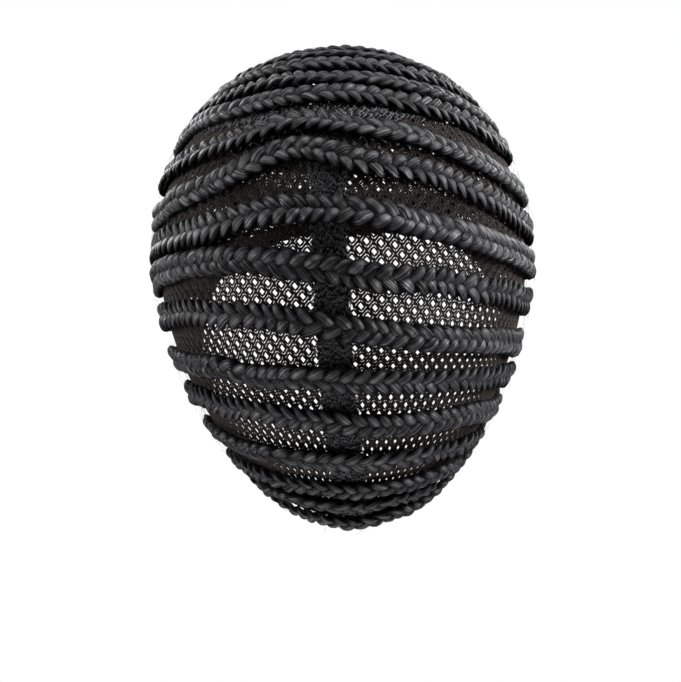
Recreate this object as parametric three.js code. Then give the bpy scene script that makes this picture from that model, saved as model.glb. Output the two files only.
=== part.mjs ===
// Cornrow wig cap: a stretch net cap that carries rows of plaited false hair, in the form it has when worn.
// Millimetres, +Z up, forehead towards -Y, nape towards +Y. The origin is the inside of the net at the crown.
import * as THREE from 'three';

// Head form that the net is stretched to: a full dome above its widest level, tapering to the nape below it
const HALF_WIDTH = 76.4;
const BACK_REACH = 95.4;
const FRONT_REACH = 93.4;
const CROWN_HEIGHT = 85.4; // from the crown down to the widest level
const LOWER_HEIGHT = 109.5; // from the widest level down to where the sides would meet below the nape
const NAPE_HEIGHT = 119.5; // the same for the centre back, which stays fuller
const UPPER_FULLNESS = 2.15; // 2 makes the dome elliptic, more makes its shoulders fuller
const LOWER_FULLNESS = 1.72; // 2 makes the lower sides elliptic, less makes them straighter
const NAPE_SET_BACK = 26; // how far the middle of the lower sections moves towards the nape
const NAPE_LEAN = 3.5; // how far the nape sits towards the wearer's right

// Net panels and the seam strips between them
const NET_THICKNESS = 1;
const PIECE_GAP = 0.3;
const SEAM_TOP_DEPTH = 26.5;
const SEAM_BOTTOM_DEPTH = 33;
const BACK_SEAM_WIDTH = 14;
const NET_COLUMNS = 48;
const SIDE_ROWS = 12;
const CROWN_RINGS = 5;
const SEAM_COLUMNS = 2;
const RIM_MARGIN = 4; // net past the middle of the edge braid

// Braids
const BRAID_HEIGHT = 3.2;
const BRAID_LIFT = 0.45; // between the net and the underside of a braid
const BRAID_STEP = 11;
const EDGE_STEP = 8;
const FEWEST_STEPS = 12;
const BRAID_CLEARANCE = 0.5; // between a row and the edge braid
const MARCH_TURNS = 720; // places round the head at which a row is found before it is spaced evenly
const HALVINGS = 40; // of the search for a row's place on the head form
const PASSES = 12; // of the search for a place on the net at a given distance from the back seam
const PROBE = 0.01; // step by which the outward direction is measured

// Rows of braid from the crown down: depth below the crown at the centre back and at the sides, how many
// degrees the row runs lower on the wearer's right, width, and how far it lies below its even run at five
// places across the back, because it was laid by hand
const RINGS = 7; // the first rows close on themselves, and the others end near the rim
const BENDS_AT = [58, 34, 12, -14, -44]; // the five places, towards the wearer's left of the middle
const BEND_REACH = 20;
const BEND_FADE = 40; // the bends fade out over this distance towards the sides
const EVEN = [0, 0, 0, 0, 0];
const ROWS = [
  { back: 0.3, side: 0.8, roll: 0, width: 9.6, bends: EVEN },
  { back: 1.6, side: 4.3, roll: 1, width: 9.6, bends: EVEN },
  { back: 5.1, side: 11.2, roll: 2, width: 10.2, bends: EVEN },
  { back: 10.1, side: 19.4, roll: 3, width: 10.4, bends: EVEN },
  { back: 16.5, side: 28.6, roll: 3, width: 10.6, bends: EVEN },
  { back: 24.4, side: 39.7, roll: 3, width: 10.8, bends: [-2.5, 1, 0, -0.5, -1] },
  { back: 38.6, side: 55.5, roll: 4, width: 10.8, bends: [-1, 1.5, -5, -1.3, -1] },
  { back: 51.8, side: 71.2, roll: 3.5, width: 11.2, bends: [1.5, 1.5, -7, 0, -1.5] },
  { back: 70.6, side: 84, roll: 4, width: 12.6, bends: [0.7, 1.3, -2.6, -0.4, 0.3] },
  { back: 92.5, side: 98.6, roll: 5, width: 12.2, bends: [-3, -2.5, -1.4, 1.2, 0] },
  { back: 112.7, side: 113.8, roll: 6, width: 11.4, bends: [-1.6, -1.5, -0.8, 1.5, 1.5] },
  { back: 133.4, side: 128.9, roll: 5, width: 11, bends: EVEN },
  { back: 149.5, side: 142, roll: 5, width: 10.4, bends: [0, -0.8, -0.6, 0.8, 0] },
  { back: 165, side: 155, roll: 4.5, width: 9.8, bends: [1.2, 1.2, -0.5, 0, 0] },
  { back: 176.5, side: 165.3, roll: 3, width: 8.2, bends: [0.8, 0.5, -0.5, 0.3, -0.5] },
  { back: 183.3, side: 173.4, roll: 1, width: 7, bends: EVEN },
];

// Middle of the edge braid: turn round the head from the centre back, in degrees, and depth below the crown
const EDGE_WIDTH = 8;
const EDGE = [
  { turn: 0, depth: 191 },
  { turn: 45, depth: 187 },
  { turn: 75, depth: 181.5 },
  { turn: 90, depth: 171.5 },
  { turn: 104, depth: 142 },
  { turn: 117, depth: 108.5 },
  { turn: 132, depth: 84.5 },
  { turn: 150, depth: 71 },
  { turn: 180, depth: 67 },
];

const netBlack = new THREE.MeshStandardMaterial({ color: 0x17130f, roughness: 0.85, metalness: 0 });
const seamBlack = new THREE.MeshStandardMaterial({ color: 0x0f0e0e, roughness: 0.95, metalness: 0 });
const hairBlack = new THREE.MeshStandardMaterial({ color: 0x1d1d20, roughness: 0.45, metalness: 0 });

// Half-width, back and front reach, middle and sideways lean of the head form's level section at a depth
function section(depth) {
  const below = depth - CROWN_HEIGHT;
  if (below <= 0) {
    const share = (1 - (-below / CROWN_HEIGHT) ** UPPER_FULLNESS) ** (1 / UPPER_FULLNESS);
    return {
      width: HALF_WIDTH * share,
      back: BACK_REACH * share,
      front: FRONT_REACH * share,
      middle: 0,
      lean: 0,
    };
  }
  const share = below / LOWER_HEIGHT;
  return {
    width: HALF_WIDTH * (1 - share ** LOWER_FULLNESS) ** (1 / LOWER_FULLNESS),
    back: BACK_REACH * Math.sqrt(1 - (below / NAPE_HEIGHT) ** 2),
    front: FRONT_REACH,
    middle: NAPE_SET_BACK * share ** 2,
    lean: -NAPE_LEAN * share ** 2,
  };
}

// Point of the head form at a turn round the head, in radians from the centre back, and a depth
function onForm(turn, depth) {
  const { width, back, front, middle, lean } = section(depth);
  const reach = Math.cos(turn) > 0 ? back - middle : front + middle;
  return new THREE.Vector3(lean + width * Math.sin(turn), middle + reach * Math.cos(turn), -depth);
}

// Less than 1 inside the head form, 1 on it and more outside it
function fill(x, y, depth) {
  if (depth < CROWN_HEIGHT) {
    const reach = y > 0 ? BACK_REACH : FRONT_REACH;
    const out = Math.hypot(x / HALF_WIDTH, y / reach);
    return out ** UPPER_FULLNESS + Math.abs(1 - depth / CROWN_HEIGHT) ** UPPER_FULLNESS;
  }
  const { width, back, front, middle, lean } = section(depth);
  const reach = y > middle ? back - middle : front + middle;
  return ((x - lean) / width) ** 2 + ((y - middle) / reach) ** 2;
}

// Outward direction of the head form at a point on it
function outward(point) {
  const { x, y, z } = point;
  return new THREE.Vector3(
    fill(x + PROBE, y, -z) - fill(x - PROBE, y, -z),
    fill(x, y + PROBE, -z) - fill(x, y - PROBE, -z),
    fill(x, y, -z - PROBE) - fill(x, y, -z + PROBE),
  ).normalize();
}

function lifted(point, height) {
  return point.clone().addScaledVector(outward(point), height);
}

// Closed body from points and triangles, with its faces turned outwards
function body(points, triangles) {
  const volume = triangles.reduce((sum, [a, b, c]) => {
    return sum + points[a].dot(new THREE.Vector3().crossVectors(points[b], points[c]));
  }, 0);
  const faces = volume > 0 ? triangles : triangles.map(([a, b, c]) => [a, c, b]);
  const geometry = new THREE.BufferGeometry().setFromPoints(points);
  geometry.setIndex(faces.flat());
  geometry.computeVertexNormals();
  return geometry;
}

// Net wall of even thickness over a grid of points on the head form; its columns may go all the way round,
// and its first row may close on the crown point
function wall(rows, { round = false, crown = null } = {}) {
  const wide = rows[0].length;
  const skin = (height) => rows.flat().map((point) => lifted(point, height));
  const points = [...skin(0), ...skin(NET_THICKNESS)];
  const triangles = [];
  const at = (side, row, column) => (side * rows.length + row) * wide + (column % wide);
  const quad = (a, b, c, d) => triangles.push([a, b, c], [a, c, d]);
  const spans = round ? wide : wide - 1;
  const last = rows.length - 1;
  for (let column = 0; column < spans; column += 1) {
    for (let row = 0; row < last; row += 1) {
      quad(at(0, row, column), at(0, row, column + 1), at(0, row + 1, column + 1), at(0, row + 1, column));
      quad(at(1, row, column), at(1, row + 1, column), at(1, row + 1, column + 1), at(1, row, column + 1));
    }
    quad(at(0, last, column), at(0, last, column + 1), at(1, last, column + 1), at(1, last, column));
    if (!crown) quad(at(0, 0, column), at(1, 0, column), at(1, 0, column + 1), at(0, 0, column + 1));
  }
  if (!round) {
    for (let row = 0; row < last; row += 1) {
      quad(at(0, row, 0), at(0, row + 1, 0), at(1, row + 1, 0), at(1, row, 0));
      quad(at(0, row, spans), at(1, row, spans), at(1, row + 1, spans), at(0, row + 1, spans));
    }
  }
  if (crown) {
    points.push(crown.clone(), crown.clone().setZ(crown.z + NET_THICKNESS));
    for (let column = 0; column < spans; column += 1) {
      triangles.push([points.length - 2, at(0, 0, column + 1), at(0, 0, column)]);
      triangles.push([points.length - 1, at(1, 0, column), at(1, 0, column + 1)]);
    }
  }
  return body(points, triangles);
}

// Depth of the edge braid's middle at a turn round the head
const edgeDepths = new THREE.CubicInterpolant(
  EDGE.map(({ turn }) => THREE.MathUtils.degToRad(turn)),
  EDGE.map(({ depth }) => depth),
  1,
);
edgeDepths.settings = { endingStart: THREE.ZeroSlopeEnding, endingEnd: THREE.ZeroSlopeEnding };

function edgeDepth(turn) {
  return edgeDepths.evaluate(Math.abs(Math.atan2(Math.sin(turn), Math.cos(turn))))[0];
}

// Depth of the net's cut rim, just past the middle of the edge braid
function rimDepth(turn) {
  const depth = edgeDepth(turn);
  const steepness = Math.sqrt(1 - outward(onForm(turn, depth)).z ** 2);
  return depth + RIM_MARGIN * steepness;
}

// Closed or open line of points spaced evenly along its length
function spacedEvenly(line, step, ring) {
  const curve = new THREE.CurvePath();
  const count = ring ? line.length : line.length - 1;
  for (let i = 0; i < count; i += 1) {
    curve.add(new THREE.LineCurve3(line[i], line[(i + 1) % line.length]));
  }
  const steps = Math.max(FEWEST_STEPS, Math.round(curve.getLength() / step));
  const points = Array.from({ length: steps + 1 }, (_, i) => curve.getPointAt(Math.min(1, i / steps)));
  return ring ? points.slice(0, -1) : points;
}

const edgeLine = Array.from({ length: MARCH_TURNS }, (_, i) => {
  const turn = (2 * Math.PI * i) / MARCH_TURNS;
  return onForm(turn, edgeDepth(turn));
});

// Row of braid: it drops or rises from the centre back to the sides and runs level from there to the front
function rowLine({ back, side, roll, width, bends }, ring) {
  const backReach = section(back).back;
  const sideMiddle = section(side).middle;
  const slope = Math.tan(THREE.MathUtils.degToRad(roll));
  const depthAt = (x, y) => {
    const share = THREE.MathUtils.clamp((backReach - y) / (backReach - sideMiddle), 0, 1);
    const waves = BENDS_AT.map((place) => Math.exp(-(((x - place) / BEND_REACH) ** 2)));
    const bent = bends.reduce((sum, bend, i) => sum + bend * waves[i], 0);
    const fade = THREE.MathUtils.clamp(y / BEND_FADE, 0, 1);
    return back + (side - back) * Math.sin((share * Math.PI) / 2) - slope * x + fade * bent;
  };
  const found = [];
  for (let i = 0; i < MARCH_TURNS; i += 1) {
    const turn = (2 * Math.PI * i) / MARCH_TURNS - Math.PI;
    let near = 0;
    let far = BACK_REACH + HALF_WIDTH;
    for (let halving = 0; halving < HALVINGS; halving += 1) {
      const middle = (near + far) / 2;
      const x = middle * Math.sin(turn);
      const y = middle * Math.cos(turn);
      const depth = depthAt(x, y);
      const inside = depth > 0 && depth < CROWN_HEIGHT + LOWER_HEIGHT && fill(x, y, depth) < 1;
      if (inside) near = middle;
      else far = middle;
    }
    const x = near * Math.sin(turn);
    const y = near * Math.cos(turn);
    found.push(new THREE.Vector3(x, y, -depthAt(x, y)));
  }
  if (ring) return found;
  const clear = (width + EDGE_WIDTH) / 2 + BRAID_CLEARANCE;
  const free = found.map((point) => edgeLine.every((edge) => edge.distanceTo(point) > clear));
  const middle = MARCH_TURNS / 2;
  let first = middle;
  let last = middle;
  while (first > 0 && free[first - 1]) first -= 1;
  while (last < MARCH_TURNS - 1 && free[last + 1]) last += 1;
  return found.slice(first, last + 1);
}

// Plain outer form of a braid: a low rounded section, in shares of its half-width and height, swept along
// its line and lying on the net
const BRAID_SECTION = [
  { across: -0.7, up: 0 },
  { across: 0.7, up: 0 },
  { across: 1, up: 0.45 },
  { across: 0.55, up: 1 },
  { across: -0.55, up: 1 },
  { across: -1, up: 0.45 },
];

function braid(line, width, ring) {
  const sides = BRAID_SECTION.length;
  const count = line.length;
  const points = line.flatMap((point, i) => {
    const before = line[ring ? (i + count - 1) % count : Math.max(0, i - 1)];
    const after = line[ring ? (i + 1) % count : Math.min(count - 1, i + 1)];
    const up = outward(point);
    const along = new THREE.Vector3().subVectors(after, before);
    const across = new THREE.Vector3().crossVectors(up, along).normalize();
    return BRAID_SECTION.map((corner) => point.clone()
      .addScaledVector(up, NET_THICKNESS + BRAID_LIFT + BRAID_HEIGHT * corner.up)
      .addScaledVector(across, (width / 2) * corner.across));
  });
  const triangles = [];
  const at = (i, side) => (i % count) * sides + (side % sides);
  for (let i = 0; i < (ring ? count : count - 1); i += 1) {
    for (let side = 0; side < sides; side += 1) {
      triangles.push([at(i, side), at(i, side + 1), at(i + 1, side + 1)]);
      triangles.push([at(i, side), at(i + 1, side + 1), at(i + 1, side)]);
    }
  }
  if (!ring) {
    for (let side = 1; side < sides - 1; side += 1) {
      triangles.push([at(0, 0), at(0, side + 1), at(0, side)]);
      triangles.push([at(count - 1, 0), at(count - 1, side), at(count - 1, side + 1)]);
    }
  }
  return body(points, triangles);
}

// Numbers spread evenly from a first to a last value
function spread(first, last, steps) {
  return Array.from({ length: steps + 1 }, (_, i) => first + ((last - first) * i) / steps);
}

const wholeTurn = spread(0, 2 * Math.PI, NET_COLUMNS).slice(0, -1);

// Top panel, from the crown out to the ring seam
function netCrown() {
  const rimAngle = Math.acos(1 - SEAM_TOP_DEPTH / CROWN_HEIGHT);
  const rings = spread(0, rimAngle, CROWN_RINGS).slice(1);
  const depths = rings.map((angle) => CROWN_HEIGHT * (1 - Math.cos(angle)));
  const rows = depths.map((depth) => wholeTurn.map((turn) => onForm(turn, depth)));
  return wall(rows, { round: true, crown: new THREE.Vector3(0, 0, 0) });
}

// Ring strip between the top panel and the side panel
function crownSeam() {
  const depths = [SEAM_TOP_DEPTH + PIECE_GAP, SEAM_BOTTOM_DEPTH];
  return wall(depths.map((depth) => wholeTurn.map((turn) => onForm(turn, depth))), { round: true });
}

// Turn from the centre back at which the form is a given distance to one side
function turnAt(distance, depth) {
  return Math.asin(Math.min(1, distance / section(depth).width));
}

// Side panel, from one edge of the back seam round the front to the other, down to the rim
function netSide() {
  const halfSeam = BACK_SEAM_WIDTH / 2 + PIECE_GAP;
  const top = SEAM_BOTTOM_DEPTH + PIECE_GAP;
  const shares = spread(0, 1, SIDE_ROWS);
  const rows = shares.map((share) => spread(0, 1, NET_COLUMNS).map((place) => {
    let turn = 2 * Math.PI * place;
    let depth = 0;
    for (let pass = 0; pass < PASSES; pass += 1) {
      depth = top + (rimDepth(turn) - top) * share;
      const margin = turnAt(halfSeam, depth);
      turn = margin + (2 * Math.PI - 2 * margin) * place;
    }
    return onForm(turn, depth);
  }));
  return wall(rows);
}

// Strip down the centre back that closes the side panel
function backSeam() {
  const half = BACK_SEAM_WIDTH / 2;
  const top = SEAM_BOTTOM_DEPTH + PIECE_GAP;
  const rows = spread(0, 1, SIDE_ROWS).map((share) => spread(-half, half, SEAM_COLUMNS).map((distance) => {
    let depth = top;
    for (let pass = 0; pass < PASSES; pass += 1) {
      depth = top + (rimDepth(turnAt(distance, depth)) - top) * share;
    }
    return onForm(turnAt(distance, depth), depth);
  }));
  return wall(rows);
}

const cap = new THREE.Group();

function add(name, geometry, material) {
  const mesh = new THREE.Mesh(geometry, material);
  mesh.name = name;
  cap.add(mesh);
}

add('net_crown', netCrown(), netBlack);
add('crown_seam', crownSeam(), seamBlack);
add('net_side', netSide(), netBlack);
add('back_seam', backSeam(), seamBlack);
ROWS.forEach((row, i) => {
  const ring = i < RINGS;
  const line = spacedEvenly(rowLine(row, ring), BRAID_STEP, ring);
  add(`braid_${String(i + 1).padStart(2, '0')}`, braid(line, row.width, ring), hairBlack);
});
add('edge_braid', braid(spacedEvenly(edgeLine, EDGE_STEP, true), EDGE_WIDTH, true), hairBlack);

export default cap;
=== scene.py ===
import math

import bpy
import numpy as np
from mathutils import Matrix, Vector


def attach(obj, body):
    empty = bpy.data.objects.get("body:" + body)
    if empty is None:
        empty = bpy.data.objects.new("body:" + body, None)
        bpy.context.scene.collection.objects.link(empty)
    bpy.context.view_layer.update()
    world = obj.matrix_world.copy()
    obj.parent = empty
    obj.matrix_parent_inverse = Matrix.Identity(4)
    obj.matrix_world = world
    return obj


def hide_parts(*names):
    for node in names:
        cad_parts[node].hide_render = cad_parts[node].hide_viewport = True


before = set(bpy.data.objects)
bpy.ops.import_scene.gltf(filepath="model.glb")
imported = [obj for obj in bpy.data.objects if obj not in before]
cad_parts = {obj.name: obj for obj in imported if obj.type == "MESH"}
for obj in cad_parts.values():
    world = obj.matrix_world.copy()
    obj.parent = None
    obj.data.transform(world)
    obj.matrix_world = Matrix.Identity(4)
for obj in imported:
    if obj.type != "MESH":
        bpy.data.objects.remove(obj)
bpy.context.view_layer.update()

# Net panels: stretch net of black-brown thread with square eyes on point, a round top panel and one long side
# panel, drawn tight into the worn form. Each eye is a ring of thread inside a diamond of crossing threads,
# and rings and crossings are drawn together into knots. The courses of eyes run with the plaits.
MM = 0.001
HALF_WIDTH = 76.4 * MM
BACK_REACH = 95.4 * MM
FRONT_REACH = 93.4 * MM
CROWN_HEIGHT = 85.4 * MM  # from the crown down to the widest level
LOWER_HEIGHT = 109.5 * MM  # from there down to where the sides would meet
NAPE_HEIGHT = 119.5 * MM  # the same for the centre back
UPPER_FULLNESS = 2.15
LOWER_FULLNESS = 1.72
NAPE_SET_BACK = 26 * MM
NAPE_LEAN = 3.5 * MM
SEAM_TOP = 26.5 * MM  # depths of the ring seam's two edges below the crown
SEAM_BOTTOM = 33 * MM
BACK_SEAM_WIDTH = 14 * MM
NET_LAYER = 0.5 * MM  # middle of the thread above the worn form
EYE_WIDTH = 5.7 * MM  # from one eye to the next along a course, at the widest level
COURSE_HEIGHT = 3.4 * MM
EYES_ROUND = 95
SIDE_COURSES = 62
NET_STARTS = 15 * MM  # depths at which the side panel's courses are counted from and end
NET_ENDS = 194 * MM
CROWN_COLUMNS = 12  # each way from the crown
CROWN_COURSES = 24
SIDE_FLAT = (0.269, 0.181)  # half the girth, and the centre back from ring seam to rim
SIDE_AREA = 0.0272
CROWN_FLAT = (0.131, 0.155)  # over the crown, side to side and front to back
CROWN_AREA = 0.0155
RING_ACROSS = 1.56 * MM  # half sizes of the ring round an eye, to the middle of its thread
RING_DOWN = 1.66 * MM
RING_ROUNDNESS = 1.2
RING_POINTS = 8
RING_GIRTH = 0.55 * MM  # half thicknesses of the threads
LATTICE_GIRTH = 0.54 * MM
KNOT_GIRTH = 0.6 * MM
KNOT_REACH = 1.3 * MM  # how far a knot reaches up and down
NET_TUCK = 1.5 * MM  # net under a seam strip or past the middle of the edge plait
NET_COLOUR = (0.016, 0.0125, 0.0105, 1)
LIGHTER_YARN = 1.9  # the lightest tone of a yarn, as a share of its colour
TWIST_BUMP = 0.1 * MM
THREAD_SIDES = 3
NET_FLATNESS = 0.6

# Rows of plait from the crown down: depth below the crown at the centre back and at the sides in millimetres,
# degrees that the row runs lower on the wearer's right, width, and how far it lies below its even run at five
# places across the back; the last entry only guides the net below the last row
RINGS = 7
BENDS_AT = np.array([58, 34, 12, -14, -44]) * MM
BEND_REACH = 20 * MM
BEND_FADE = 40 * MM
EVEN = (0, 0, 0, 0, 0)
ROWS = [
    {"back": 0.3, "side": 0.8, "roll": 0, "width": 9.6, "bends": EVEN},
    {"back": 1.6, "side": 4.3, "roll": 1, "width": 9.6, "bends": EVEN},
    {"back": 5.1, "side": 11.2, "roll": 2, "width": 10.2, "bends": EVEN},
    {"back": 10.1, "side": 19.4, "roll": 3, "width": 10.4, "bends": EVEN},
    {"back": 16.5, "side": 28.6, "roll": 3, "width": 10.6, "bends": EVEN},
    {"back": 24.4, "side": 39.7, "roll": 3, "width": 10.8, "bends": (-2.5, 1, 0, -0.5, -1)},
    {"back": 38.6, "side": 55.5, "roll": 4, "width": 10.8, "bends": (-1, 1.5, -5, -1.3, -1)},
    {"back": 51.8, "side": 71.2, "roll": 3.5, "width": 11.2, "bends": (1.5, 1.5, -7, 0, -1.5)},
    {"back": 70.6, "side": 84, "roll": 4, "width": 12.6, "bends": (0.7, 1.3, -2.6, -0.4, 0.3)},
    {"back": 92.5, "side": 98.6, "roll": 5, "width": 12.2, "bends": (-3, -2.5, -1.4, 1.2, 0)},
    {"back": 112.7, "side": 113.8, "roll": 6, "width": 11.4, "bends": (-1.6, -1.5, -0.8, 1.5, 1.5)},
    {"back": 133.4, "side": 128.9, "roll": 5, "width": 11, "bends": EVEN},
    {"back": 149.5, "side": 142, "roll": 5, "width": 10.4, "bends": (0, -0.8, -0.6, 0.8, 0)},
    {"back": 165, "side": 155, "roll": 4.5, "width": 9.8, "bends": (1.2, 1.2, -0.5, 0, 0)},
    {"back": 176.5, "side": 165.3, "roll": 3, "width": 8.2, "bends": (0.8, 0.5, -0.5, 0.3, -0.5)},
    {"back": 183.3, "side": 173.4, "roll": 1, "width": 7, "bends": EVEN},
    {"back": 203, "side": 193, "roll": 0, "width": 7, "bends": EVEN},
]

# Middle of the edge plait: degrees round from the centre back, and depth below the crown in millimetres
EDGE = [
    (0, 191), (45, 187), (75, 181.5), (90, 171.5), (104, 142),
    (117, 108.5), (132, 84.5), (150, 71), (180, 67),
]


def section(depth):
    """Half-width, back and front reach, middle and lean of the worn form's level section at a depth."""
    below = np.asarray(depth, float) - CROWN_HEIGHT
    above = np.clip(-below / CROWN_HEIGHT, 0, 1)
    upper = (1 - above ** UPPER_FULLNESS) ** (1 / UPPER_FULLNESS)
    share = np.clip(below / LOWER_HEIGHT, 0, 0.999)
    nape = np.clip(below / NAPE_HEIGHT, 0, 0.999)
    width = HALF_WIDTH * upper * (1 - share ** LOWER_FULLNESS) ** (1 / LOWER_FULLNESS)
    back = BACK_REACH * upper * np.sqrt(1 - nape ** 2)
    return width, back, FRONT_REACH * upper, NAPE_SET_BACK * share ** 2, -NAPE_LEAN * share ** 2


def on_form(turn, depth):
    """Points of the worn form at turns round it from the centre back, and depths below the crown."""
    width, back, front, middle, lean = section(depth)
    reach = np.where(np.cos(turn) > 0, back - middle, front + middle)
    height = -np.asarray(depth, float) + 0 * turn
    return np.stack([lean + width * np.sin(turn), middle + reach * np.cos(turn), height], axis=-1)


def fill(points):
    """Less than 1 inside the worn form, 1 on it and more outside it."""
    x, y, depth = points[..., 0], points[..., 1], -points[..., 2]
    reach = np.where(y > 0, BACK_REACH, FRONT_REACH)
    out = np.hypot(x / HALF_WIDTH, y / reach)
    upper = out ** UPPER_FULLNESS + np.abs(1 - depth / CROWN_HEIGHT) ** UPPER_FULLNESS
    width, back, front, middle, lean = section(np.maximum(depth, CROWN_HEIGHT))
    reach = np.where(y > middle, back - middle, front + middle)
    lower = ((x - lean) / width) ** 2 + ((y - middle) / reach) ** 2
    return np.where(depth < CROWN_HEIGHT, upper, lower)


def outward(points):
    """Outward directions of the worn form at points on it."""
    probe = 0.02 * MM
    steps = np.eye(3) * probe
    slope = np.stack([fill(points + step) - fill(points - step) for step in steps], axis=-1)
    return slope / np.linalg.norm(slope, axis=-1, keepdims=True)


def lifted(points, height):
    return points + outward(points) * np.asarray(height)[..., None]


def row_depth(points, row):
    """Depth that a row has above or below points of the plan; row holds its table values in metres."""
    x, y = points[..., 0], points[..., 1]
    reach = section(row["back"])[1]
    middle = section(row["side"])[3]
    share = np.clip((reach - y) / (reach - middle), 0, 1)
    waves = np.exp(-(((x[..., None] - BENDS_AT) / BEND_REACH) ** 2))
    bent = np.clip(y / BEND_FADE, 0, 1) * (waves * row["bends"]).sum(axis=-1)
    sag = (row["side"] - row["back"]) * np.sin(share * np.pi / 2)
    return row["back"] + sag - np.tan(row["roll"]) * x + bent


def row_values(row):
    return {"back": row["back"] * MM, "side": row["side"] * MM, "roll": math.radians(row["roll"]),
            "bends": np.array(row["bends"]) * MM}


def edge_depth(turn):
    """Depth of the edge plait's middle, a smooth curve through the table with level ends."""
    around = np.abs(np.arctan2(np.sin(turn), np.cos(turn)))
    places = np.radians([place for place, _ in EDGE])
    depths = np.array([depth for _, depth in EDGE]) * MM
    slopes = np.gradient(depths, places)
    slopes[0] = slopes[-1] = 0
    k = np.clip(np.searchsorted(places, around, side="right") - 1, 0, len(places) - 2)
    span = places[k + 1] - places[k]
    t = (around - places[k]) / span
    return ((2 * t ** 3 - 3 * t ** 2 + 1) * depths[k] + (t ** 3 - 2 * t ** 2 + t) * span * slopes[k]
            + (3 * t ** 2 - 2 * t ** 3) * depths[k + 1] + (t ** 3 - t ** 2) * span * slopes[k + 1])


def rim_depth(turn, past):
    """Depth of a line that lies a little past the middle of the edge plait."""
    depth = edge_depth(turn)
    steep = np.sqrt(1 - outward(on_form(turn, depth))[..., 2] ** 2)
    return depth + past * steep


# Courses of the side panel are counted by the length of net down the centre back
back_depths = np.linspace(NET_STARTS, NET_ENDS, 400)
back_line = on_form(np.zeros_like(back_depths), back_depths)
back_lengths = np.concatenate([[0], np.cumsum(np.linalg.norm(np.diff(back_line, axis=0), axis=1))])
tables = {key: np.array([row_values(row)[key] for row in ROWS]) for key in ("back", "side", "roll", "bends")}

# Columns of eyes are counted by the length of net round the widest level
round_turns = np.linspace(0, 2 * np.pi, 721)
round_line = on_form(round_turns, np.full(721, CROWN_HEIGHT))
round_lengths = np.concatenate([[0], np.cumsum(np.linalg.norm(np.diff(round_line, axis=0), axis=1))])


def side_point(column, course):
    """Points of the side panel's net at a column of eyes round it and a course down it."""
    turn = np.interp(column / EYES_ROUND % 1 * round_lengths[-1], round_lengths, round_turns)
    back = np.interp(course * COURSE_HEIGHT, back_lengths, back_depths)
    row = {key: np.interp(back, tables["back"], tables[key]) for key in ("back", "side", "roll")}
    row["bends"] = np.stack([np.interp(back, tables["back"], bends) for bends in tables["bends"].T], axis=-1)
    depth = back
    for _ in range(30):
        depth = 0.5 * depth + 0.5 * np.clip(row_depth(on_form(turn, depth), row), 1 * MM, NET_ENDS)
    return on_form(turn, depth), turn, depth


def on_side_panel(column, course):
    """Points of the side panel, and which of them have net: clear of the seams and inside the rim."""
    points, turn, depth = side_point(column, course)
    _, _, _, _, lean = section(depth)
    clear_of_seam = (points[..., 1] < 0) | (np.abs(points[..., 0] - lean) > BACK_SEAM_WIDTH / 2 - NET_TUCK)
    inside = (depth > SEAM_BOTTOM - NET_TUCK) & (depth < rim_depth(turn, NET_TUCK)) & clear_of_seam
    return points, inside


def on_crown_panel(column, course):
    """Points of the top panel, and which of them lie inside the ring seam."""
    across = column * EYE_WIDTH / HALF_WIDTH
    along = course * COURSE_HEIGHT / BACK_REACH
    lean = np.hypot(across, along)
    depth = CROWN_HEIGHT * (1 - np.cos(lean))
    return on_form(np.arctan2(across, along), depth), depth < SEAM_TOP + 0.5 * NET_TUCK


class Lines:
    """Lines of thread gathered for one mesh: points, edges, and a girth and an outward way at each point."""

    def __init__(self):
        self.points, self.ups, self.edges, self.girths, self.count = [], [], [], [], 0

    def add(self, points, height, girth, ring=False):
        """Adds lines of equal length, lifted off the worn form: points has lines, places, coordinates."""
        many, length, _ = points.shape
        first = self.count + np.arange(many)[:, None] * length
        steps = np.arange(length if ring else length - 1)
        self.edges.append(np.stack([first + steps, first + (steps + 1) % length], axis=-1).reshape(-1, 2))
        up = outward(points)
        self.points.append((points + up * np.broadcast_to(height, (many, length))[..., None]).reshape(-1, 3))
        self.ups.append(up.reshape(-1, 3))
        self.girths.append(np.broadcast_to(girth, (many, length)).ravel())
        self.count += many * length

    def mesh(self, name):
        made = bpy.data.meshes.new(name)
        made.from_pydata(np.concatenate(self.points), np.concatenate(self.edges), [])
        girth = made.attributes.new("girth", "FLOAT", "POINT")
        girth.data.foreach_set("value", np.concatenate(self.girths).astype(np.float32))
        up = made.attributes.new("up", "FLOAT_VECTOR", "POINT")
        up.data.foreach_set("vector", np.concatenate(self.ups).astype(np.float32).ravel())
        return made


def node(tree, kind, feeds=None, **settings):
    """Adds a node; feeds gives inputs by name or number, each a value or the socket that feeds it."""
    made = tree.nodes.new(kind)
    for name, value in settings.items():
        setattr(made, name, value)
    for key, value in (feeds or {}).items():
        if isinstance(value, bpy.types.NodeSocket):
            tree.links.new(value, made.inputs[key])
        else:
            made.inputs[key].default_value = value
    return made


def new_tree(name, inputs, output):
    """Empty Geometry Nodes tree with its named inputs; gives the tree and its input node."""
    tree = bpy.data.node_groups.new(name, "GeometryNodeTree")
    for title, kind in inputs.items():
        tree.interface.new_socket(title, in_out="INPUT", socket_type="NodeSocket" + kind)
    tree.interface.new_socket(output, in_out="OUTPUT", socket_type="NodeSocketGeometry")
    return tree, node(tree, "NodeGroupInput")


def close_tree(tree, geometry, material):
    real = node(tree, "GeometryNodeRealizeInstances", {"Geometry": geometry})
    smooth = node(tree, "GeometryNodeSetShadeSmooth", {"Geometry": real.outputs[0]})
    finish = node(tree, "GeometryNodeSetMaterial", {"Geometry": smooth.outputs[0], "Material": material})
    node(tree, "NodeGroupOutput", {0: finish.outputs[0]})


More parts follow.
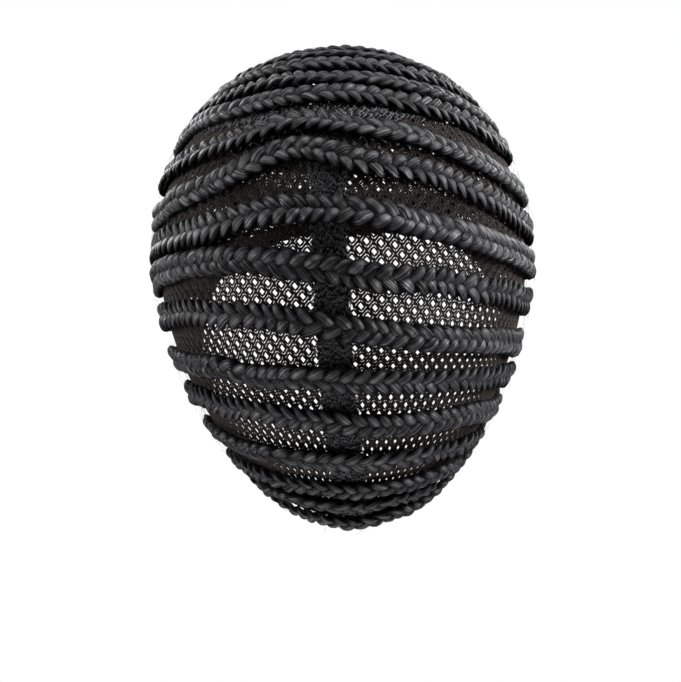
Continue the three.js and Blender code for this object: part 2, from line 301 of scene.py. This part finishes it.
def thread_tree():
    """Flat thread along every line, lying on the worn form, as wide as the line's girth."""
    tree, given = new_tree("Threads", {
        "Lines": "Geometry", "Sides": "Int", "Flatness": "Float", "Yarn": "Material"}, "Threads")
    curves = node(tree, "GeometryNodeMeshToCurve", {"Mesh": given.outputs["Lines"]})
    up = node(tree, "GeometryNodeInputNamedAttribute", {"Name": "up"}, data_type="FLOAT_VECTOR")
    lying = node(tree, "GeometryNodeSetCurveNormal", {
        "Curve": curves.outputs[0], "Normal": up.outputs[0]}, mode="FREE")
    circle = node(tree, "GeometryNodeCurvePrimitiveCircle", {
        "Resolution": given.outputs["Sides"], "Radius": 1.0})
    shape = node(tree, "ShaderNodeCombineXYZ", {"X": given.outputs["Flatness"], "Y": 1.0, "Z": 1.0})
    profile = node(tree, "GeometryNodeTransform", {"Geometry": circle.outputs[0], "Scale": shape.outputs[0]})
    girth = node(tree, "GeometryNodeInputNamedAttribute", {"Name": "girth"}, data_type="FLOAT")
    tubes = node(tree, "GeometryNodeCurveToMesh", {
        "Curve": lying.outputs[0], "Profile Curve": profile.outputs[0], "Scale": girth.outputs[0],
        "Fill Caps": True})
    close_tree(tree, tubes.outputs[0], given.outputs["Yarn"])
    return tree


def grown(name, lines, tree, sizes):
    """Runs a tree on a mesh of lines and keeps the result as a plain mesh in an object at the origin."""
    piece = bpy.data.objects.new(name, lines)
    bpy.context.scene.collection.objects.link(piece)
    modifier = piece.modifiers.new(tree.name, "NODES")
    modifier.node_group = tree
    for socket in tree.interface.items_tree:
        if socket.in_out == "INPUT" and socket.name in sizes:
            modifier[socket.identifier] = sizes[socket.name]
    bpy.context.view_layer.update()
    shown = piece.evaluated_get(bpy.context.evaluated_depsgraph_get())
    made = bpy.data.meshes.new_from_object(shown)
    piece.modifiers.remove(modifier)
    piece.data = made
    made.name = name
    return piece


def new_material(name):
    made = bpy.data.materials.new(name)
    made.use_nodes = True
    made.node_tree.nodes.clear()
    return made, made.node_tree


def thread_yarn(name, colour, roughness):
    """Matt yarn, a little uneven in tone, with the twist of its fibres as fine bump."""
    made, tree = new_material(name)
    place = node(tree, "ShaderNodeTexCoord")
    tone = node(tree, "ShaderNodeTexNoise", {
        "Vector": place.outputs["Object"], "Scale": 160.0, "Detail": 3.0})
    lighter = tuple(LIGHTER_YARN * c for c in colour[:3]) + (1,)
    tint = node(tree, "ShaderNodeMix", {0: tone.outputs["Fac"], 6: colour, 7: lighter}, data_type="RGBA")
    twist = node(tree, "ShaderNodeTexNoise", {
        "Vector": place.outputs["Object"], "Scale": 5200.0, "Detail": 2.0})
    bump = node(tree, "ShaderNodeBump", {
        "Height": twist.outputs["Fac"], "Strength": 0.5, "Distance": TWIST_BUMP})
    shader = node(tree, "ShaderNodeBsdfPrincipled", {
        "Base Color": tint.outputs[2], "Roughness": roughness, "Normal": bump.outputs["Normal"],
        "Specular IOR Level": 0.15})
    node(tree, "ShaderNodeOutputMaterial", {"Surface": shader.outputs["BSDF"]})
    return made


def lattice(place, columns, courses):
    """Lines of a panel's net: rings round the eyes, crossing threads and knots, where the panel has net."""
    lines = Lines()
    course, column = np.meshgrid(courses, columns, indexing="ij")
    column = column + 0.5 * (course % 2)
    column, course = column.ravel(), course.ravel()
    angles = 2 * np.pi * np.arange(RING_POINTS) / RING_POINTS
    across, down = np.cos(angles), np.sin(angles)
    size = (np.abs(across) ** RING_ROUNDNESS + np.abs(down) ** RING_ROUNDNESS) ** (-1 / RING_ROUNDNESS)
    across = RING_ACROSS / EYE_WIDTH * size * across
    down = RING_DOWN / COURSE_HEIGHT * size * down
    rings, inside = place(column[:, None] + across, course[:, None] + down)
    lines.add(rings[inside.all(axis=1)], NET_LAYER, RING_GIRTH, ring=True)
    knot = column + 0.5
    for side in (-0.5, 0.5):
        ends = np.stack([knot, knot + side], axis=1)
        crossing, inside = place(ends, np.stack([course, course + 1], axis=1))
        lines.add(crossing[inside.all(axis=1)], NET_LAYER, LATTICE_GIRTH)
    reach = np.array([-1, 0, 1])
    taper = KNOT_GIRTH * np.array([0.6, 1, 0.6])
    knots, inside = place(knot[:, None] + 0 * reach, course[:, None] + KNOT_REACH / COURSE_HEIGHT * reach)
    lines.add(knots[inside.all(axis=1)], NET_LAYER, taper)
    return lines


threads = thread_tree()
net_yarn = thread_yarn("net_yarn", NET_COLOUR, 0.7)
side_courses = np.arange(SIDE_COURSES)
side_net_left = lattice(on_side_panel, np.arange(0, EYES_ROUND // 2), side_courses)
side_net_right = lattice(on_side_panel, np.arange(EYES_ROUND // 2, EYES_ROUND), side_courses)
crown_net = lattice(on_crown_panel, np.arange(-CROWN_COLUMNS, CROWN_COLUMNS + 1),
                    np.arange(-CROWN_COURSES, CROWN_COURSES + 1))
NET_PIECES = [
    {"name": "net_side_left", "lines": side_net_left, "node": "net_side",
     "flat": SIDE_FLAT, "area": SIDE_AREA},
    {"name": "net_side_right", "lines": side_net_right, "node": "net_side",
     "flat": SIDE_FLAT, "area": SIDE_AREA},
    {"name": "net_top", "lines": crown_net, "node": "net_crown",
     "flat": CROWN_FLAT, "area": CROWN_AREA},
]
for entry in NET_PIECES:
    net = grown(entry["name"], entry["lines"].mesh(entry["name"]), threads, {
        "Sides": THREAD_SIDES, "Flatness": NET_FLATNESS, "Yarn": net_yarn})
    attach(net, "root")
    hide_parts(entry["node"])

# Plaits: three strands of false hair, each a soft flat bundle of fine fibres, plaited and sewn down along the
# middle of every row. The rows run to and fro, so the plait points the other way in every second row.
NET_THICKNESS = 1 * MM
PLAIT_HEIGHT = 3.2 * MM
PLAIT_PERIOD = 16.2 * MM  # length in which a strand comes back to the same side
STRAND_WIDTH = 2.25 * MM  # half sizes of a strand across and through
STRAND_DEPTH = 1.35 * MM
STRAND_RISE = 0.55 * MM
STRAND_TILT = 0.45  # a strand's face leans along the row, so that each laps over the one before
STRAND_UNDERSIDE = 0.55  # the underside is flattened to this share of the depth
STRAND_LEAN = 0.12  # the plait lies higher on one side, and its strands are plumper there
PLUMP_SIDE = 0.06
PLUMP_OVER = 0.08  # a strand is plumper where it lies over the others
SWING_SHARPNESS = 0.09  # and turns back a little sharply at the sides
STRAND_SIZED_FOR = 9.4 * MM  # width of plait that the strand's width is given for
STRAND_SIDES = 11
PLAIT_STEP = 0.95 * MM
TURN_WANDER = (0.7, 45 * MM)  # unevenness and its length: of the strands' turn in radians,
FULL_WANDER = (0.07, 40 * MM)  # of the plait's fullness, slow and quick,
QUICK_WANDER = (0.06, 9 * MM)
SIDE_WANDER = (0.8 * MM, 60 * MM)  # and of its place across the row
EDGE_WIDTH = 8 * MM
PLAIT_CLEARANCE = 0.5 * MM
TUCK_LENGTH = 5 * MM  # a plait's end is tucked under and gets thinner over this length
TUCK_FULLNESS = 0.45
LOOSE_SPACING = 2.2 * MM  # one loose hair to so much plait
LOOSE_GIRTH = 0.06 * MM
LOOSE_REACH = (2.5 * MM, 8 * MM)
LOOSE_STAND = 0.2 * MM
MARCH_TURNS = 720
HAIR_COLOUR = (0.026, 0.026, 0.0285, 1)
HAIR_TONES = (0.03, 2.4)  # the darkest and the lightest fibres, as shares of the colour
BUNDLE_STREAKS = (30.0, 4.0)  # fineness along and across a strand, of bundles and of the fibres in them
FIBRE_STREAKS = (40.0, 12.0)
FIBRE_BUMP = 0.35 * MM


def row_line(row, ring):
    """Closely spaced points of a row on the worn form, from the front round the back and to the front."""
    values = row_values(row)
    turn = 2 * np.pi * np.arange(MARCH_TURNS) / MARCH_TURNS - np.pi
    direction = np.stack([np.sin(turn), np.cos(turn)], axis=1)
    near = np.zeros(MARCH_TURNS)
    far = np.full(MARCH_TURNS, BACK_REACH + HALF_WIDTH)

    def at(radius):
        plan = direction * radius[:, None]
        depth = row_depth(plan, values)
        return np.column_stack([plan, -depth])

    for _ in range(40):
        middle = (near + far) / 2
        points = at(middle)
        depth = -points[:, 2]
        inside = (depth > 0) & (depth < CROWN_HEIGHT + LOWER_HEIGHT) & (fill(points) < 1)
        near = np.where(inside, middle, near)
        far = np.where(inside, far, middle)
    points = at(near)
    if ring:
        return points
    clear = (row["width"] * MM + EDGE_WIDTH) / 2 + PLAIT_CLEARANCE
    gap = np.linalg.norm(points[:, None] - edge_line[None], axis=2).min(axis=1)
    taken = np.flatnonzero(gap <= clear)
    first = taken[taken < MARCH_TURNS // 2].max() + 1
    last = taken[taken > MARCH_TURNS // 2].min()
    return points[first:last]


def spaced(points, ring, step):
    """The same line with evenly spaced points, and the distance of each along it."""
    line = np.vstack([points, points[:1]]) if ring else points
    lengths = np.concatenate([[0], np.cumsum(np.linalg.norm(np.diff(line, axis=0), axis=1))])
    count = max(24, round(lengths[-1] / step))
    places = np.linspace(0, lengths[-1], count + 1)
    if ring:
        places = places[:-1]
    even = np.column_stack([np.interp(places, lengths, line[:, k]) for k in range(3)])
    return even, places, lengths[-1]


def wander(share, length, wave, seed):
    """Smooth unevenness along a plait, between about -1 and 1, that closes on itself."""
    chance = np.random.default_rng(seed)
    cycles = max(1, round(length / wave)) + np.array([0, 1, 3])
    return np.sin(2 * np.pi * share[:, None] * cycles + chance.uniform(0, 2 * np.pi, 3)).mean(axis=1)


def plait_path(name, points, ring, backwards, seed):
    """Mesh of a plait's middle line, with directions, the strands' turn and the fullness at each point."""
    even, places, length = spaced(points, ring, PLAIT_STEP)
    if backwards:
        even = even[::-1]
    up = outward(even)
    if ring:
        along = np.roll(even, -1, axis=0) - np.roll(even, 1, axis=0)
    else:
        along = np.gradient(even, axis=0)
    across = np.cross(up, along)
    across /= np.linalg.norm(across, axis=1, keepdims=True)
    periods = max(2, round(length / PLAIT_PERIOD))
    share = places / length

    def uneven(kind, draw):
        amount, wave = kind
        return amount * wander(share, length, wave, seed + draw)

    turn = 2 * np.pi * periods * share + uneven(TURN_WANDER, 0)
    full = 1 + uneven(FULL_WANDER, 100) + uneven(QUICK_WANDER, 300)
    even = even + across * uneven(SIDE_WANDER, 200)[:, None]
    if not ring:
        ends = np.minimum(places, length - places) / TUCK_LENGTH
        full = full * (TUCK_FULLNESS + (1 - TUCK_FULLNESS) * np.sin(np.clip(ends, 0, 1) * np.pi / 2))
    count = len(even)
    steps = np.arange(count if ring else count - 1)
    made = bpy.data.meshes.new(name)
    made.from_pydata(even, np.column_stack([steps, (steps + 1) % count]), [])
    for title, values in (("turn", turn), ("run", places + 0.9 * seed), ("full", full)):
        made.attributes.new(title, "FLOAT", "POINT").data.foreach_set("value", values.astype(np.float32))
    for title, values in (("up", up), ("across", across)):
        made.attributes.new(title, "FLOAT_VECTOR", "POINT").data.foreach_set(
            "vector", values.astype(np.float32).ravel())
    return made


def plait_tree():
    """Three strands that cross along a path: each swings from side to side and rises over the next."""
    tree, given = new_tree("Plait", {
        "Path": "Geometry", "Swing": "Float", "Rise": "Float", "Lean": "Float", "Tilt": "Float",
        "Seat": "Float", "Strand width": "Float", "Strand depth": "Float", "Underside": "Float",
        "Sides": "Int", "Hair": "Material"}, "Plait")

    def read(name, kind="FLOAT"):
        return node(tree, "GeometryNodeInputNamedAttribute", {"Name": name}, data_type=kind).outputs[0]

    def maths(operation, *values):
        return node(tree, "ShaderNodeMath", dict(enumerate(values)), operation=operation).outputs[0]

    def vector(operation, first, second):
        return node(tree, "ShaderNodeVectorMath", {0: first, 1: second}, operation=operation).outputs[0]

    def scaled(way, share):
        return node(tree, "ShaderNodeVectorMath", {0: way, "Scale": share}, operation="SCALE").outputs[0]

    turn, full = read("turn"), read("full")
    up, across = read("up", "FLOAT_VECTOR"), read("across", "FLOAT_VECTOR")
    profile = node(tree, "GeometryNodeCurvePrimitiveCircle", {
        "Resolution": given.outputs["Sides"], "Radius": 1.0})
    shape = node(tree, "ShaderNodeCombineXYZ", {
        "X": given.outputs["Strand depth"], "Y": given.outputs["Strand width"], "Z": 1.0})
    place = node(tree, "GeometryNodeInputPosition")
    marked = node(tree, "GeometryNodeStoreNamedAttribute", {
        "Geometry": profile.outputs[0], "Name": "lie", "Value": place.outputs[0]},
        data_type="FLOAT_VECTOR", domain="POINT")
    corner = node(tree, "ShaderNodeSeparateXYZ", {0: place.outputs[0]}).outputs
    lowest = maths("MULTIPLY", given.outputs["Underside"], -1.0)
    pressed = node(tree, "ShaderNodeCombineXYZ", {
        "X": maths("MAXIMUM", corner["X"], lowest), "Y": corner["Y"], "Z": corner["Z"]})
    pressed = node(tree, "GeometryNodeSetPosition", {
        "Geometry": marked.outputs[0], "Position": pressed.outputs[0]})
    flat = node(tree, "GeometryNodeTransform", {"Geometry": pressed.outputs[0], "Scale": shape.outputs[0]})
    along = vector("CROSS_PRODUCT", across, up)
    tangent = node(tree, "GeometryNodeInputTangent").outputs[0]
    sideways = vector("CROSS_PRODUCT", tangent, vector("CROSS_PRODUCT", along, tangent))
    facing = vector("ADD", up, scaled(sideways, given.outputs["Tilt"]))
    joined = node(tree, "GeometryNodeJoinGeometry")
    for strand in range(3):
        phase = maths("ADD", turn, 2 * math.pi * strand / 3)
        sharper = maths("MULTIPLY", maths("SINE", maths("MULTIPLY", phase, 3.0)), -SWING_SHARPNESS)
        aside = maths("DIVIDE", maths("ADD", maths("SINE", phase), sharper), 1 + SWING_SHARPNESS)
        swing = maths("MULTIPLY", maths("MULTIPLY", aside, given.outputs["Swing"]), full)
        over = maths("SINE", maths("MULTIPLY", phase, 2.0))
        height = maths("ADD", maths("MULTIPLY", maths("MULTIPLY", over, given.outputs["Rise"]), full),
                       maths("MULTIPLY", given.outputs["Seat"], full))
        height = maths("MULTIPLY_ADD", swing, given.outputs["Lean"], height)
        offset = vector("ADD", scaled(across, swing), scaled(up, height))
        moved = node(tree, "GeometryNodeSetPosition", {"Geometry": given.outputs["Path"], "Offset": offset})
        curve = node(tree, "GeometryNodeMeshToCurve", {"Mesh": moved.outputs[0]})
        upright = node(tree, "GeometryNodeSetCurveNormal", {
            "Curve": curve.outputs[0], "Normal": facing}, mode="FREE")
        plump = maths("MULTIPLY_ADD", aside, PLUMP_SIDE, maths("MULTIPLY_ADD", over, PLUMP_OVER, 1.0))
        plump = maths("MULTIPLY", full, plump)
        tube = node(tree, "GeometryNodeCurveToMesh", {
            "Curve": upright.outputs[0], "Profile Curve": flat.outputs[0], "Scale": plump, "Fill Caps": True})
        named = tube
        # over and slant are kept on the strands for the hair's painted shade
        for title, value in (("strand", float(strand)), ("over", over), ("slant", maths("COSINE", phase))):
            named = node(tree, "GeometryNodeStoreNamedAttribute", {
                "Geometry": named.outputs[0], "Name": title, "Value": value},
                data_type="FLOAT", domain="POINT")
        tree.links.new(named.outputs[0], joined.inputs[0])
    close_tree(tree, joined.outputs[0], given.outputs["Hair"])
    return tree


def hair_finish(name):
    """Black false hair: fine fibres run along every strand and break its satin gloss into streaks. Painted
    shade:
    a strand's colour and coat gloss are darkened at its flanks, where it dips under another and on the side
    that the next one covers."""
    made, tree = new_material(name)

    def read(title, output="Fac"):
        return node(tree, "ShaderNodeAttribute", attribute_name=title).outputs[output]

    def eased(value, start, end, low, high):
        return node(tree, "ShaderNodeMapRange", {0: value, 1: start, 2: end, 3: low, 4: high}).outputs[0]

    def product(first, second):
        return node(tree, "ShaderNodeMath", {0: first, 1: second}, operation="MULTIPLY").outputs[0]

    strand = read("strand")
    lie = node(tree, "ShaderNodeSeparateXYZ", {0: read("lie", "Vector")}).outputs
    place = node(tree, "ShaderNodeCombineXYZ", {"X": read("run"), "Y": lie["X"], "Z": lie["Y"]}).outputs[0]

    def streaks(along, across):
        stretched = node(tree, "ShaderNodeVectorMath", {0: place, 1: (along, across, across)},
                         operation="MULTIPLY")
        return node(tree, "ShaderNodeTexNoise", {
            "Vector": stretched.outputs[0], "W": strand, "Scale": 1.0, "Detail": 1.0, "Roughness": 0.6},
            noise_dimensions="4D").outputs["Fac"]

    bundles, fibres = streaks(*BUNDLE_STREAKS), streaks(*FIBRE_STREAKS)
    height = node(tree, "ShaderNodeMath", {0: bundles, 1: 1.5, 2: fibres}, operation="MULTIPLY_ADD")
    bump = node(tree, "ShaderNodeBump", {
        "Height": height.outputs[0], "Strength": 1.0, "Distance": FIBRE_BUMP})
    mixed = node(tree, "ShaderNodeMix", {0: 0.5, 2: bundles, 3: fibres}).outputs[0]
    tone = node(tree, "ShaderNodeValToRGB", {"Fac": mixed})
    for stop, at, tint in zip(tone.color_ramp.elements, (0.38, 0.62), HAIR_TONES):
        stop.position = at
        stop.color = tuple(tint * c for c in HAIR_COLOUR[:3]) + (1,)
    # Painted shade: the hair colour is darkened at a strand's flanks, where it dips under another and on the
    # side that the next strand covers, standing in for the shade in the plait's creases
    face = eased(lie["X"], 0.2, 0.85, 0.01, 1.0)
    dip_shade = eased(read("over"), -0.6, 0.3, 0.05, 1.0)
    covered = product(lie["Y"], eased(read("slant"), -0.6, 0.6, -1.0, 1.0))
    shade = product(product(face, dip_shade), eased(covered, -0.3, 0.8, 1.0, 0.12))
    shaded_tone = node(tree, "ShaderNodeVectorMath", {0: tone.outputs["Color"], "Scale": shade}, operation="SCALE")
    # The coat gloss fades out with the same painted shade, so the creases get no sheen
    gloss = product(eased(shade, 0.2, 0.9, 0.0, 1.0), eased(mixed, 0.42, 0.6, 0.03, 1.0))
    shader = node(tree, "ShaderNodeBsdfPrincipled", {
        "Base Color": shaded_tone.outputs[0], "Roughness": 0.6, "Specular IOR Level": 0.05, "Coat Weight": gloss,
        "Coat Roughness": 0.36, "Normal": bump.outputs["Normal"], "Coat Normal": bump.outputs["Normal"]})
    node(tree, "ShaderNodeOutputMaterial", {"Surface": shader.outputs["BSDF"]})
    return made


edge_turns = 2 * np.pi * np.arange(MARCH_TURNS) / MARCH_TURNS
edge_line = on_form(edge_turns, edge_depth(edge_turns))
plaits = plait_tree()
hair = hair_finish("plait_hair")
loose_hair = thread_yarn("loose_hair", HAIR_COLOUR, 0.45)


def loose_hairs(points, width, ring, seed):
    """Lines of single hairs that have worked loose: most lie over the plait, and a few stand out from it."""
    chance = np.random.default_rng(seed)
    even, _, length = spaced(points, ring, PLAIT_STEP)
    count = round(length / LOOSE_SPACING)
    at = chance.integers(4, len(even) - 4, count)
    root = even[at]
    up = outward(root)
    along = even[at + 1] - even[at - 1]
    along /= np.linalg.norm(along, axis=1, keepdims=True)
    across = np.cross(up, along)
    side = chance.uniform(-0.9, 0.9, count)
    heading = chance.normal(0, 0.8, count) + np.pi * chance.integers(0, 2, count)
    turning = chance.normal(0, 0.5, count)
    reach = chance.uniform(*LOOSE_REACH, count)
    stand = chance.gamma(1.0, LOOSE_STAND, count)
    share = np.linspace(0, 1, 5)
    angle = heading[:, None] + turning[:, None] * share
    step = (reach / 4)[:, None, None] * (np.cos(angle)[..., None] * along[:, None]
                                        + np.sin(angle)[..., None] * across[:, None])
    line = (root + across * (side * width / 2)[:, None])[:, None] + np.cumsum(step, axis=1)
    height = NET_THICKNESS + PLAIT_HEIGHT * (1.02 - 0.5 * side[:, None] ** 2) + stand[:, None] * share ** 1.5
    lines = Lines()
    lines.add(line, height, LOOSE_GIRTH * np.array([1, 1, 0.9, 0.8, 0.5]))
    return lines


def lay_plait(name, points, width, ring, backwards, seed):
    """Plait of a given width along a line of points, and the loose hairs on it."""
    path = plait_path(name, points, ring, backwards, seed)
    share = width / STRAND_SIZED_FOR
    piece = grown(name, path, plaits, {
        "Swing": width / 2 - STRAND_WIDTH * share, "Rise": STRAND_RISE,
        "Lean": STRAND_LEAN, "Tilt": STRAND_TILT, "Seat": NET_THICKNESS + PLAIT_HEIGHT / 2,
        "Strand width": STRAND_WIDTH * share, "Strand depth": STRAND_DEPTH, "Underside": STRAND_UNDERSIDE,
        "Sides": STRAND_SIDES, "Hair": hair})
    loose = name + "_loose"
    loose = grown(loose, loose_hairs(points, width, ring, seed).mesh(loose), threads, {
        "Sides": THREAD_SIDES, "Flatness": 1.0, "Yarn": loose_hair})
    return piece, loose


for number, row in enumerate(ROWS[:-1], 1):
    ring = number <= RINGS
    backwards = number % 2 == 0
    line = row_line(row, ring)
    for piece in lay_plait("plait_%02d" % number, line, row["width"] * MM, ring, backwards, number):
        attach(piece, "root")
        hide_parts("braid_%02d" % number)

# Edge plait: a last plait of the same hair, a little slimmer, sewn along the cut rim of the net all the way
# round. It hides the rim and closes on itself.
for piece in lay_plait("plait_edge", edge_line, EDGE_WIDTH, True, False, 17):
    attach(piece, "root")
    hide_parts("edge_braid")

# Seam strips: dense knitted tape, black and matt, with loops of yarn on both faces and edges that are not
# quite straight. One goes round as a ring between the two panels, and one down the centre back closes the
# side panel.
TAPE_COLOUR = (0.002, 0.002, 0.0022, 1)
TAPE_THICKNESS = 0.8 * MM
TAPE_LIFT = 0.1 * MM  # its inner face above the worn form
TAPE_FULLNESS = 0.95  # its mean width, as a share of the seam's
TAPE_UNEVENNESS = 0.08  # of its width along the edges
TAPE_WAVE = 5 * MM
TAPE_ROWS = 7
TAPE_END = 3 * MM  # how far the back tape goes past the middle of the edge plait
LOOP_COLOUR = (0.09, 0.09, 0.095, 1)
tape_yarn = thread_yarn("tape_yarn", TAPE_COLOUR, 0.85)
loop_yarn = thread_yarn("loop_yarn", LOOP_COLOUR, 0.5)


def tape(name, grid, ring):
    """Thin closed wall over a grid of points of the worn form, rows across and columns along."""
    rows, columns, _ = grid.shape
    inner, outer = lifted(grid, TAPE_LIFT), lifted(grid, TAPE_LIFT + TAPE_THICKNESS)
    points = np.concatenate([inner.reshape(-1, 3), outer.reshape(-1, 3)])
    faces = []
    spans = columns if ring else columns - 1
    size = rows * columns

    def quad(*corners):
        faces.append([side * size + row * columns + column % columns for side, row, column in corners])

    for column in range(spans):
        after = column + 1
        for row in range(rows - 1):
            quad((0, row, column), (0, row, after), (0, row + 1, after), (0, row + 1, column))
            quad((1, row + 1, column), (1, row + 1, after), (1, row, after), (1, row, column))
        for row, (a, b) in ((0, (0, 1)), (rows - 1, (1, 0))):
            quad((a, row, column), (b, row, column), (b, row, after), (a, row, after))
    if not ring:
        for column, (a, b) in ((0, (1, 0)), (columns - 1, (0, 1))):
            for row in range(rows - 1):
                quad((a, row, column), (b, row, column), (b, row + 1, column), (a, row + 1, column))
    made = bpy.data.meshes.new(name)
    made.from_pydata(points, [], faces)
    made.polygons.foreach_set("use_smooth", [True] * len(faces))
    made.materials.append(tape_yarn)
    piece = bpy.data.objects.new(name, made)
    bpy.context.scene.collection.objects.link(piece)
    return piece


def ring_strip(across, along):
    """Points of the ring seam at shares of its width and of its way round."""
    return on_form(2 * np.pi * along, SEAM_TOP + (SEAM_BOTTOM - SEAM_TOP) * across)


def back_strip(across, along):
    """Points of the back seam at shares of its width and of its way from the ring seam down to the rim."""
    depth = SEAM_BOTTOM + 0 * along
    for _ in range(12):
        turn = np.arcsin(np.clip(BACK_SEAM_WIDTH * (across - 0.5) / section(depth)[0], -1, 1))
        depth = SEAM_BOTTOM + (rim_depth(turn, TAPE_END) - SEAM_BOTTOM) * along
    return on_form(turn, depth)


# Faces of a tape: small knitted loops side by side, in courses that overlap, not quite even
LOOP = np.array([(-0.5, 0.6, 0), (-0.3, 0, 0.6), (0, -0.5, 1), (0.3, 0, 0.6), (0.5, 0.6, 0)])
LOOP_GIRTH = 0.21 * MM
LOOP_RISE = 0.7 * MM
INNER_SINK = 0.15 * MM  # the same loops on the inner face, lower
INNER_RISE = 0.3 * MM
LOOP_UNEVENNESS = 0.45
LOOP_OVERLAP = (1.1, 1.2)  # across and along the tape


def knit(name, strip, loops, courses, seed):
    """Loops of yarn on both faces of a strip, so many side by side and so many courses along it."""
    chance = np.random.default_rng(seed)
    loop, course = np.meshgrid(np.arange(loops), np.arange(courses), indexing="ij")
    loop, course = loop.ravel(), course.ravel()
    shift = chance.normal(0, LOOP_UNEVENNESS, (len(loop), 2))
    across = (loop + 0.5 + shift[:, 0])[:, None] + LOOP[:, 0] * LOOP_OVERLAP[0]
    along = (course + 0.5 + shift[:, 1])[:, None] + LOOP[:, 1] * LOOP_OVERLAP[1]
    face = strip(across / loops, np.clip(along / courses, 0, 1))
    lines = Lines()
    girth = LOOP_GIRTH * chance.uniform(0.8, 1.2, (len(loop), 1))
    rise = TAPE_THICKNESS + LOOP_RISE * (LOOP[:, 2] - 0.2) + chance.normal(0, 0.1 * MM, (len(loop), 1))
    lines.add(face, rise, girth)
    lines.add(face, INNER_SINK - INNER_RISE * LOOP[:, 2], girth)
    return grown(name, lines.mesh(name), threads, {
        "Sides": THREAD_SIDES, "Flatness": 1.0, "Yarn": loop_yarn})


# The ring tape is 8.5 mm wide, but a sheet's width can't be given below 10 mm, so its area holds
# the true size
TAPES = [
    {"name": "tape_ring", "node": "crown_seam", "strip": ring_strip, "ring": True, "columns": 240,
     "loops": 4, "courses": 340, "flat": (0.01, 0.425), "area": 0.0036, "rests_on": ["net_top"]},
    {"name": "tape_back", "node": "back_seam", "strip": back_strip, "ring": False, "columns": 150,
     "loops": 11, "courses": 150, "flat": (0.014, 0.181), "area": 0.00253,
     "rests_on": ["net_side_left", "net_side_right"]},
]
for seed, entry in enumerate(TAPES):
    shares = np.arange(entry["columns"]) / (entry["columns"] - (0 if entry["ring"] else 1))
    across, along = np.meshgrid(np.linspace(0, 1, TAPE_ROWS), shares, indexing="ij")
    uneven = TAPE_FULLNESS + TAPE_UNEVENNESS * wander(shares, entry["flat"][1], TAPE_WAVE, seed)
    across = 0.5 + (across - 0.5) * uneven
    strip = tape(entry["name"], entry["strip"](across, along), entry["ring"])
    face = knit(entry["name"] + "_face", entry["strip"], entry["loops"], entry["courses"], seed)
    for piece in (strip, face):
        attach(piece, "root")
        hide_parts(entry["node"])

# Pale floor, well below the cap, with soft studio light from a white surround and wide lamps.
FLOOR_DEPTH = 1.3
FLOOR_REACH = 9
floor_corners = [(FLOOR_REACH * x, FLOOR_REACH * y, -FLOOR_DEPTH)
                 for x, y in ((-1, -1), (1, -1), (1, 1), (-1, 1))]
floor_mesh = bpy.data.meshes.new("floor")
floor_mesh.from_pydata(floor_corners, [], [(0, 1, 2, 3)])
floor = bpy.data.objects.new("floor", floor_mesh)
bpy.context.scene.collection.objects.link(floor)
floor_paint, floor_nodes = new_material("floor_paint")
floor_shader = node(floor_nodes, "ShaderNodeBsdfPrincipled", {
    "Base Color": (0.5, 0.5, 0.5, 1), "Roughness": 0.9})
floor_seen = node(floor_nodes, "ShaderNodeEmission", {"Color": (1, 1, 1, 1), "Strength": 1.0})
floor_ray = node(floor_nodes, "ShaderNodeLightPath")
floor_mix = node(floor_nodes, "ShaderNodeMixShader", {
    0: floor_ray.outputs["Is Camera Ray"], 1: floor_shader.outputs[0], 2: floor_seen.outputs[0]})
node(floor_nodes, "ShaderNodeOutputMaterial", {"Surface": floor_mix.outputs[0]})
floor_mesh.materials.append(floor_paint)

SURROUND_LIGHT = 0.04
world = bpy.data.worlds.new("studio")
world.use_nodes = True
world.node_tree.nodes.clear()
sky_ray = node(world.node_tree, "ShaderNodeLightPath")
sky_light = node(world.node_tree, "ShaderNodeMapRange", {
    0: sky_ray.outputs["Is Camera Ray"], 1: 0.0, 2: 1.0, 3: SURROUND_LIGHT, 4: 1.0})
sky = node(world.node_tree, "ShaderNodeBackground", {"Color": (1, 1, 1, 1), "Strength": sky_light.outputs[0]})
node(world.node_tree, "ShaderNodeOutputWorld", {"Surface": sky.outputs[0]})
bpy.context.scene.world = world
bpy.context.scene.view_settings.view_transform = "Standard"

LAMPS = [
    {"name": "right", "place": (-1.35, 0.05, 0.5), "size": 0.6, "power": 46},
    {"name": "left", "place": (1.35, 0.05, 0.4), "size": 0.7, "power": 24},
    {"name": "top", "place": (0.0, 0.12, 1.25), "size": 0.8, "power": 23},
    {"name": "low", "place": (0.0, 0.25, -1.1), "size": 0.8, "power": 10},
    {"name": "front_left", "place": (0.8, -1.2, 0.5), "size": 0.7, "power": 14},
    {"name": "front_right", "place": (-0.8, -1.2, 0.5), "size": 0.7, "power": 14},
]
aim = Vector((0, 0, -0.1))
for lamp in LAMPS:
    light = bpy.data.lights.new(lamp["name"], "AREA")
    light.size = lamp["size"]
    light.energy = lamp["power"]
    stand = bpy.data.objects.new(lamp["name"], light)
    stand.location = lamp["place"]
    stand.rotation_mode = "QUATERNION"
    stand.rotation_quaternion = (aim - stand.location).to_track_quat("-Z", "Y")
    bpy.context.scene.collection.objects.link(stand)

# Camera behind the cap at the height of its middle, level, turned a little and tipped by two degrees.
VIEW_DISTANCE = 0.95
VIEW_YAW = math.radians(3)
VIEW_TIP = math.radians(2)
VIEW_HEIGHT = -0.1191
VIEW_ASIDE = 0.0023
FOCAL_LENGTH = 118.3
camera = bpy.data.objects.new("camera", bpy.data.cameras.new("camera"))
camera.data.lens = FOCAL_LENGTH
camera.data.sensor_width = 36
back = Vector((-math.sin(VIEW_YAW), math.cos(VIEW_YAW), 0))
camera.location = back * VIEW_DISTANCE + Vector((0, 0, VIEW_HEIGHT))
camera.rotation_mode = "QUATERNION"
look = Vector((VIEW_ASIDE, 0, VIEW_HEIGHT)) - camera.location
tip = Matrix.Rotation(-VIEW_TIP, 3, "Z").to_quaternion()
camera.rotation_quaternion = look.to_track_quat("-Z", "Y") @ tip
bpy.context.scene.collection.objects.link(camera)
bpy.context.scene.camera = camera
